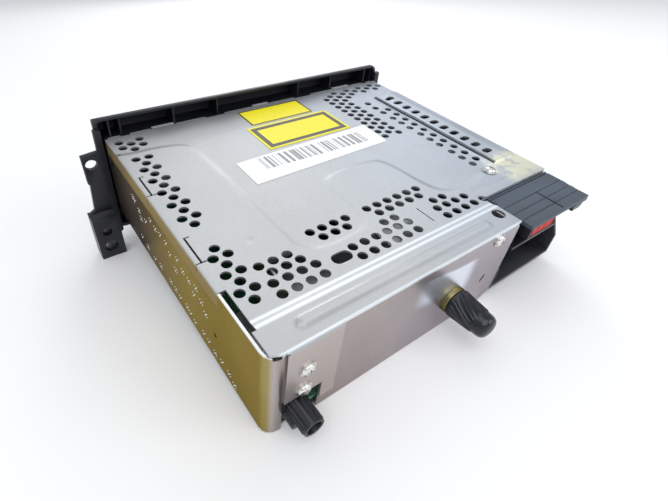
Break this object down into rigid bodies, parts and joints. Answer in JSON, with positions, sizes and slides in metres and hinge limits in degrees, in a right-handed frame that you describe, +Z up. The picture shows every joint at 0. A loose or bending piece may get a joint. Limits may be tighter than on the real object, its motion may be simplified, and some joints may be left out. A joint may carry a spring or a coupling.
{
  "type": "car cd player",
  "caption": "Slot-loading car CD player for a dashboard: steel case with vented cover, fascia with keys, side brackets, harness and aerial sockets, rear stud.",
  "frame": {"origin": "centre of the case's underside, on the bottom cover", "axes": "+Z up; +Y towards the rear wall, the stud and the sockets; -Y towards the fascia; +X to the side of the aerial socket, left as seen from behind"},
  "size_m": [0.212, 0.1993, 0.076],
  "materials": {
    "cover_steel": "zinc-coated steel sheet, satin",
    "body_steel": "zinc-coated steel sheet, bright",
    "plain_steel": "plated steel",
    "screw_zinc": "bright zinc",
    "black_plastic": "moulded, fine matt",
    "slate_plastic": "moulded, fine matt slate",
    "dark_plastic": "moulded, satin",
    "key_plastic": "moulded, soft matt",
    "window_plastic": "clear smoked, polished",
    "red_plastic": "moulded red",
    "white_plastic": "moulded natural white",
    "boot_rubber": "glossy moulded rubber",
    "roller_rubber": "matt rubber",
    "felt": "short felt",
    "yellow_label": "printed film label",
    "white_label": "printed film label",
    "board": "circuit board with solder mask",
    "gold_plate": "yellow passivated",
    "contact_gold": "plated contact",
    "lens_glass": "polished lens",
    "sink_aluminium": "extruded"
  },
  "bodies": {
    "root": {"top_cover": "cover_steel", "chassis_body": "body_steel", "bottom_cover": "plain_steel", "deck_damper_1": "roller_rubber", "deck_damper_2": "roller_rubber", "deck_damper_3": "roller_rubber", "front_bezel": "black_plastic", "slot_felt": "felt", "display_window": "window_plastic", "fascia_board": "board", "bracket_left": "black_plastic", "bracket_right": "black_plastic", "connector_housing": "dark_plastic", "connector_hood": "slate_plastic", "coding_insert": "red_plastic", "connector_pins": "contact_gold", "support_stud": "plain_steel", "stud_nut": "gold_plate", "rubber_boot": "boot_rubber", "aerial_plug": "black_plastic", "aerial_contact": "contact_gold", "rear_screw_1": "screw_zinc", "rear_screw_2": "screw_zinc", "rear_screw_3": "screw_zinc", "cover_screw": "screw_zinc", "label_small_yellow": "yellow_label", "label_large_yellow": "yellow_label", "label_white": "white_label", "main_board": "board", "tuner_module": "plain_steel", "amplifier_chip": "dark_plastic", "heat_sink": "sink_aluminium", "front_connector": "white_plastic", "deck_frame": "plain_steel", "spindle_motor": "plain_steel", "guide_rod": "plain_steel", "feed_motor": "plain_steel", "loading_motor": "plain_steel", "disc_guide": "dark_plastic"},
    "volume_knob": {"volume_knob": "key_plastic"},
    "dust_flap": {"dust_flap": "dark_plastic"},
    "turntable": {"turntable": "dark_plastic"},
    "clamp_arm": {"clamp_arm": "plain_steel"},
    "clamper": {"clamper": "dark_plastic"},
    "cam_slide": {"cam_slide": "white_plastic"},
    "pickup_sled": {"pickup_sled": "dark_plastic"},
    "pickup_lens": {"pickup_lens": "lens_glass"},
    "feed_gear": {"feed_gear": "white_plastic"},
    "feed_pinion": {"feed_pinion": "white_plastic"},
    "loading_roller": {"roller_shaft": "white_plastic", "loading_roller": "roller_rubber"},
    "loading_pinion": {"loading_pinion": "white_plastic"},
    "preset_button_1": {"preset_button_1": "key_plastic"},
    "preset_button_2": {"preset_button_2": "key_plastic"},
    "preset_button_3": {"preset_button_3": "key_plastic"},
    "preset_button_4": {"preset_button_4": "key_plastic"},
    "preset_button_5": {"preset_button_5": "key_plastic"},
    "preset_button_6": {"preset_button_6": "key_plastic"},
    "source_button": {"source_button": "key_plastic"},
    "eject_button": {"eject_button": "key_plastic"}
  },
  "joints": [
    {"name": "preset_button_1_press", "type": "slide", "parent": "root", "child": "preset_button_1", "axis": [0, 1, 0], "range_m": [0, 0.0012], "stiffness_N_per_m": 400, "springref_m": -0.001},
    {"name": "preset_button_2_press", "type": "slide", "parent": "root", "child": "preset_button_2", "axis": [0, 1, 0], "range_m": [0, 0.0012], "stiffness_N_per_m": 400, "springref_m": -0.001},
    {"name": "preset_button_3_press", "type": "slide", "parent": "root", "child": "preset_button_3", "axis": [0, 1, 0], "range_m": [0, 0.0012], "stiffness_N_per_m": 400, "springref_m": -0.001},
    {"name": "preset_button_4_press", "type": "slide", "parent": "root", "child": "preset_button_4", "axis": [0, 1, 0], "range_m": [0, 0.0012], "stiffness_N_per_m": 400, "springref_m": -0.001},
    {"name": "preset_button_5_press", "type": "slide", "parent": "root", "child": "preset_button_5", "axis": [0, 1, 0], "range_m": [0, 0.0012], "stiffness_N_per_m": 400, "springref_m": -0.001},
    {"name": "preset_button_6_press", "type": "slide", "parent": "root", "child": "preset_button_6", "axis": [0, 1, 0], "range_m": [0, 0.0012], "stiffness_N_per_m": 400, "springref_m": -0.001},
    {"name": "source_button_press", "type": "slide", "parent": "root", "child": "source_button", "axis": [0, 1, 0], "range_m": [0, 0.0012], "stiffness_N_per_m": 400, "springref_m": -0.001},
    {"name": "eject_button_press", "type": "slide", "parent": "root", "child": "eject_button", "axis": [0, 1, 0], "range_m": [0, 0.0012], "stiffness_N_per_m": 400, "springref_m": -0.001},
    {"name": "volume_turn", "type": "hinge", "parent": "root", "child": "volume_knob", "pos_m": [-0.076, -0.09135, 0.02], "axis": [0, 1, 0], "continuous": true},
    {"name": "flap_swing", "type": "hinge", "parent": "root", "child": "dust_flap", "pos_m": [0, -0.08135, 0.0376], "axis": [1, 0, 0], "range_deg": [0, 70], "stiffness_Nm_per_rad": 0.0008, "springref_deg": -17.19},
    {"name": "disc_spin", "type": "hinge", "parent": "root", "child": "turntable", "pos_m": [0, 0.005, 0.03], "axis": [0, 0, 1], "continuous": true},
    {"name": "cam_travel", "type": "slide", "parent": "root", "child": "cam_slide", "axis": [0, -1, 0], "range_m": [0, 0.01]},
    {"name": "arm_swing", "type": "hinge", "parent": "root", "child": "clamp_arm", "pos_m": [0, 0.067, 0.0385], "axis": [1, 0, 0], "range_deg": [0, 2.2]},
    {"name": "clamper_spin", "type": "hinge", "parent": "clamp_arm", "child": "clamper", "pos_m": [0, 0.005, 0.038], "axis": [0, 0, 1], "continuous": true},
    {"name": "sled_travel", "type": "slide", "parent": "root", "child": "pickup_sled", "axis": [1, 0, 0], "range_m": [0, 0.033]},
    {"name": "lens_focus", "type": "slide", "parent": "pickup_sled", "child": "pickup_lens", "axis": [0, 0, 1], "range_m": [-0.0007, 0.0007], "stiffness_N_per_m": 12},
    {"name": "feed_gear_turn", "type": "hinge", "parent": "root", "child": "feed_gear", "pos_m": [0.023, -0.0264, 0.023], "axis": [0, 0, 1], "range_deg": [-226, 0]},
    {"name": "feed_pinion_turn", "type": "hinge", "parent": "root", "child": "feed_pinion", "pos_m": [0.0349, -0.0264, 0.023], "axis": [0, 0, 1], "range_deg": [0, 542]},
    {"name": "roller_spin", "type": "hinge", "parent": "root", "child": "loading_roller", "pos_m": [0, -0.06, 0.0284], "axis": [1, 0, 0], "continuous": true},
    {"name": "loading_pinion_spin", "type": "hinge", "parent": "root", "child": "loading_pinion", "pos_m": [0.068, -0.05014, 0.0248], "axis": [1, 0, 0], "continuous": true}
  ],
  "couplings": [
    {"joint": "arm_swing", "follows": "cam_travel", "rad_per_m": 3.8397},
    {"joint": "feed_gear_turn", "follows": "sled_travel", "rad_per_m": -119.05},
    {"joint": "feed_pinion_turn", "follows": "sled_travel", "rad_per_m": 285.71},
    {"joint": "loading_pinion_spin", "follows": "roller_spin", "ratio": -2}
  ]
}
